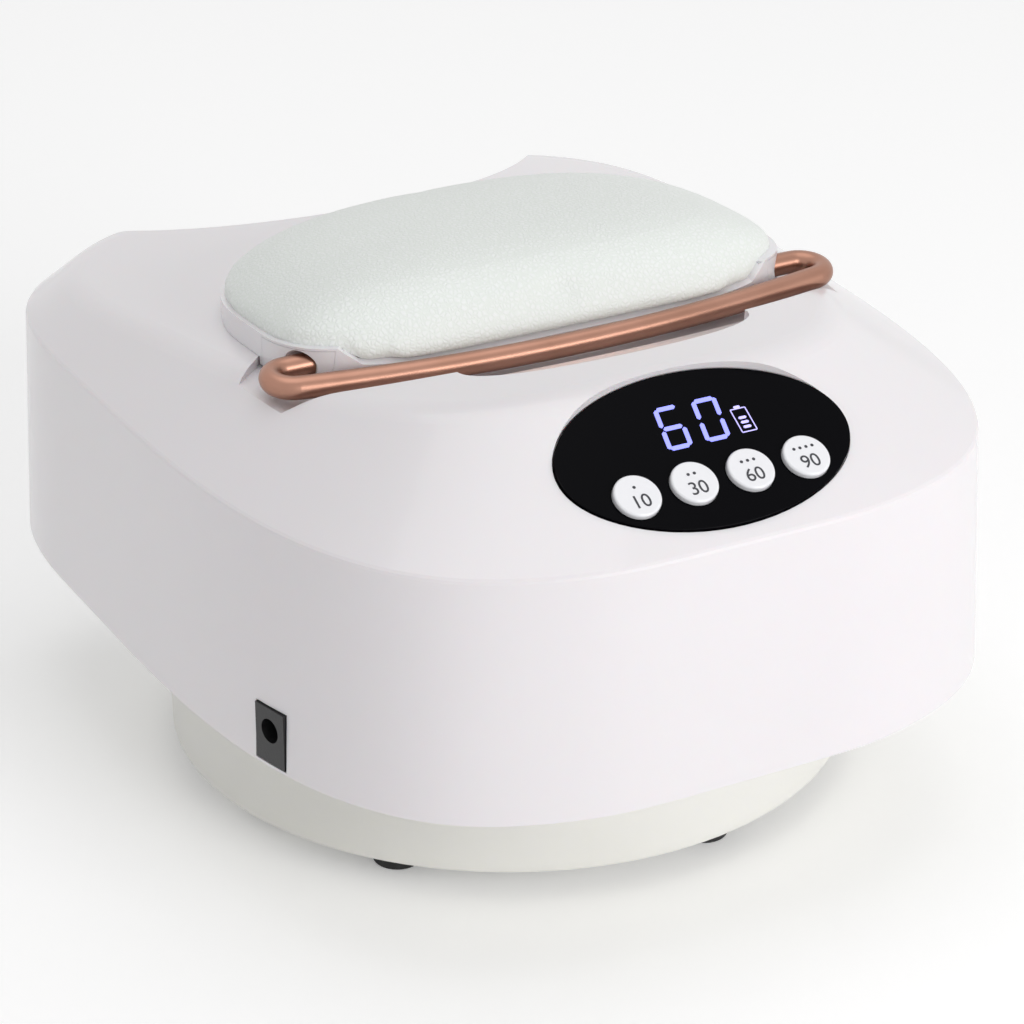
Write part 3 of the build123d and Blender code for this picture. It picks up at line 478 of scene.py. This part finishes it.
# padded leather cushion
cushionSetup = {
    "halfWidth": 0.0722, "front": -0.0298, "rear": 0.0564, "waist": 0.004, "frontFull": 4.2, "rearFull": 2.6,
    "base": (0, 0.0077, 0.1295), "tilt": -3.9, "height": 0.0142, "corners": 96, "voxel": 0.0024,
    "smoothing": 3, "pressure": 4.0, "mass": 0.3, "frames": 20, "cap": 0.0018, "frontCap": 0.0002,
    "hem": 0.005, "underside": 0.001,
    "profile": ((0.0, 0.99), (0.14, 1.0), (0.30, 0.985), (0.46, 0.94), (0.62, 0.875), (0.78, 0.78),
                (0.90, 0.64), (0.97, 0.45), (1.0, 0.22)),
}
apronSetup = {"start": -0.019, "fall": 21.0, "halfWidth": 0.064, "fade": 0.010, "reach": 0.0032,
              "depth": 0.007, "hold": 1.3}


def smoothShare(value):
    value = min(max(value, 0.0), 1.0)
    return value * value * (3 - 2 * value)


def makeCushion():
    clearSelection()
    bpy.ops.mesh.primitive_circle_add(vertices=cushionSetup["corners"], radius=1, fill_type="NGON")
    pad = bpy.context.object
    pad.name = "paddedCushion"
    for point in pad.data.vertices:
        forward = point.co.y < 0
        power = 2 / (cushionSetup["frontFull"] if forward else cushionSetup["rearFull"])
        reach = abs(cushionSetup["front" if forward else "rear"] - cushionSetup["waist"])
        x = cushionSetup["halfWidth"] * abs(point.co.x) ** power * (1 if point.co.x > 0 else -1)
        y = reach * abs(point.co.y) ** power * (-1 if forward else 1)
        point.co = (x, y + cushionSetup["waist"], 0)
    centre = (0, (cushionSetup["front"] + cushionSetup["rear"]) / 2, 0)
    bpy.ops.object.mode_set(mode="EDIT")
    bpy.ops.mesh.select_all(action="SELECT")
    last, lastRise = 1.0, 0.0
    for rise, share in cushionSetup["profile"]:
        if rise:
            lift = (rise - lastRise) * cushionSetup["height"]
            bpy.ops.mesh.extrude_region_move(TRANSFORM_OT_translate={"value": (0, 0, lift)})
        bpy.ops.transform.resize(value=(share / last, share / last, 1), center_override=centre)
        last, lastRise = share, rise
    bpy.ops.mesh.select_all(action="SELECT")
    bpy.ops.mesh.normals_make_consistent(inside=False)
    bpy.ops.object.mode_set(mode="OBJECT")
    pad.data.remesh_voxel_size = cushionSetup["voxel"]
    bpy.ops.object.voxel_remesh()
    smooth = pad.modifiers.new("evenOut", "SMOOTH")
    smooth.iterations = cushionSetup["smoothing"]
    bpy.ops.object.modifier_apply(modifier=smooth.name)
    return pad


def dropFront(pad):
    span = apronSetup["start"] - cushionSetup["front"]
    for point in pad.data.vertices:  # the leather comes down over the front, behind the handle
        ahead = max(0.0, apronSetup["start"] - point.co.y)
        inside = smoothShare((apronSetup["halfWidth"] - abs(point.co.x)) / apronSetup["fade"])
        lower = inside * smoothShare(apronSetup["hold"] * (1 - point.co.z / apronSetup["depth"]))
        point.co.z -= tan(radians(apronSetup["fall"])) * ahead * lower
        point.co.y -= apronSetup["reach"] * min(1.0, ahead / span) * lower


def puffUp(pad):
    before = [point.co.copy() for point in pad.data.vertices]
    cloth = pad.modifiers.new("padding", "CLOTH")
    cloth.settings.use_pressure = True
    cloth.settings.uniform_pressure_force = cushionSetup["pressure"]
    cloth.settings.effector_weights.gravity = 0
    cloth.settings.mass = cushionSetup["mass"]
    cloth.point_cache.frame_start = 1
    cloth.point_cache.frame_end = cushionSetup["frames"]
    for step in range(1, cushionSetup["frames"] + 1):
        bpy.context.scene.frame_set(step)
    clearSelection()
    pad.select_set(True)
    bpy.context.view_layer.objects.active = pad
    bpy.ops.object.modifier_apply(modifier=cloth.name)
    bpy.context.scene.frame_set(1)
    for point, old in zip(pad.data.vertices, before):
        move = point.co - old
        if move.length > cushionSetup["cap"]:
            move = move.normalized() * cushionSetup["cap"]
        if old.y < apronSetup["start"]:  # no further out than the handle's sweep allows
            move.y = max(move.y, -cushionSetup["frontCap"])
        free = smoothShare(old.z / cushionSetup["hem"])  # the hem stays tacked down
        point.co = (old.x + free * move.x, old.y + free * move.y, old.z + move.z)
        if old.z < cushionSetup["underside"]:  # the underside stays flat on its board
            point.co.z = old.z


cushion = makeCushion()
puffUp(cushion)
dropFront(cushion)
clearSelection()
cushion.select_set(True)
bpy.context.view_layer.objects.active = cushion
finer = cushion.modifiers.new("finer", "SUBSURF")
finer.levels = 1
finer.render_levels = 1
bpy.ops.object.modifier_apply(modifier=finer.name)
bpy.ops.object.shade_smooth()
cushionTilt = Matrix.Rotation(radians(cushionSetup["tilt"]), 4, "X")
bakePlace(cushion, Matrix.Translation(cushionSetup["base"]) @ cushionTilt)
cushion.data.materials.clear()
cushion.data.materials.append(finishes["leather"])
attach(cushion, "lamp")
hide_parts("leather_cushion")
print("cushion made:", len(cushion.data.polygons), "faces")

# floor, background and lights
stageSetup = {"floorSize": 8.0, "floorColour": (0.9, 0.9, 0.9), "floorRoughness": 0.9, "floorGlow": 0.22,
              "worldGlow": 0.55}
softboxes = {
    "frontSoftbox": {"place": (0.6, -1.7, 0.6), "aim": (0, 0, 0.06), "size": (1.1, 0.9), "power": 15.5},
    "topSoftbox": {"place": (0.1, 0.2, 1.7), "aim": (0, 0, 0.1), "size": (1.4, 1.4), "power": 5.5},
}


def addStage():
    clearSelection()
    bpy.ops.mesh.primitive_plane_add(size=stageSetup["floorSize"], location=(0, 0, 0))
    floor = bpy.context.object
    floor.name = "studioFloor"
    material = bpy.data.materials.new("studioFloorWhite")
    material.use_nodes = True
    tree = material.node_tree
    shader = tree.nodes["Principled BSDF"]
    shader.inputs["Base Color"].default_value = (*stageSetup["floorColour"], 1)
    shader.inputs["Roughness"].default_value = stageSetup["floorRoughness"]
    shader.inputs["Emission Color"].default_value = (1, 1, 1, 1)
    rays = tree.nodes.new("ShaderNodeLightPath")
    seen = tree.nodes.new("ShaderNodeMath")
    seen.operation = "MAXIMUM"
    glow = tree.nodes.new("ShaderNodeMath")
    glow.operation = "MULTIPLY"
    glow.inputs[1].default_value = stageSetup["floorGlow"]
    tree.links.new(rays.outputs["Is Camera Ray"], seen.inputs[0])
    tree.links.new(rays.outputs["Is Glossy Ray"], seen.inputs[1])
    tree.links.new(seen.outputs["Value"], glow.inputs[0])
    tree.links.new(glow.outputs["Value"], shader.inputs["Emission Strength"])
    floor.data.materials.append(material)


def addWorld():
    world = bpy.data.worlds.new("studioWorld")
    bpy.context.scene.world = world
    world.use_nodes = True
    tree = world.node_tree
    background = tree.nodes["Background"]
    rays = tree.nodes.new("ShaderNodeLightPath")
    seen = tree.nodes.new("ShaderNodeMath")
    seen.operation = "MAXIMUM"
    through = tree.nodes.new("ShaderNodeMath")
    through.operation = "MAXIMUM"
    level = tree.nodes.new("ShaderNodeMapRange")
    level.inputs["To Min"].default_value = stageSetup["worldGlow"]
    level.inputs["To Max"].default_value = 1.0
    tree.links.new(rays.outputs["Is Camera Ray"], seen.inputs[0])
    tree.links.new(rays.outputs["Is Glossy Ray"], seen.inputs[1])
    tree.links.new(seen.outputs["Value"], through.inputs[0])
    tree.links.new(rays.outputs["Is Transmission Ray"], through.inputs[1])
    tree.links.new(through.outputs["Value"], level.inputs["Value"])
    tree.links.new(level.outputs["Result"], background.inputs["Strength"])
    background.inputs["Color"].default_value = (1, 1, 1, 1)


def addSoftbox(name, place, aim, size, power):
    clearSelection()
    bpy.ops.object.light_add(type="AREA", location=place)
    lamp = bpy.context.object
    lamp.name = name
    lamp.data.shape = "RECTANGLE"
    lamp.data.size, lamp.data.size_y = size
    lamp.data.energy = power
    lamp.rotation_euler = (Vector(place) - Vector(aim)).to_track_quat("Z", "Y").to_euler()


addStage()
addWorld()
for boxName, box in softboxes.items():
    addSoftbox(boxName, **box)
bpy.context.scene.view_settings.view_transform = "Standard"
print("stage set")
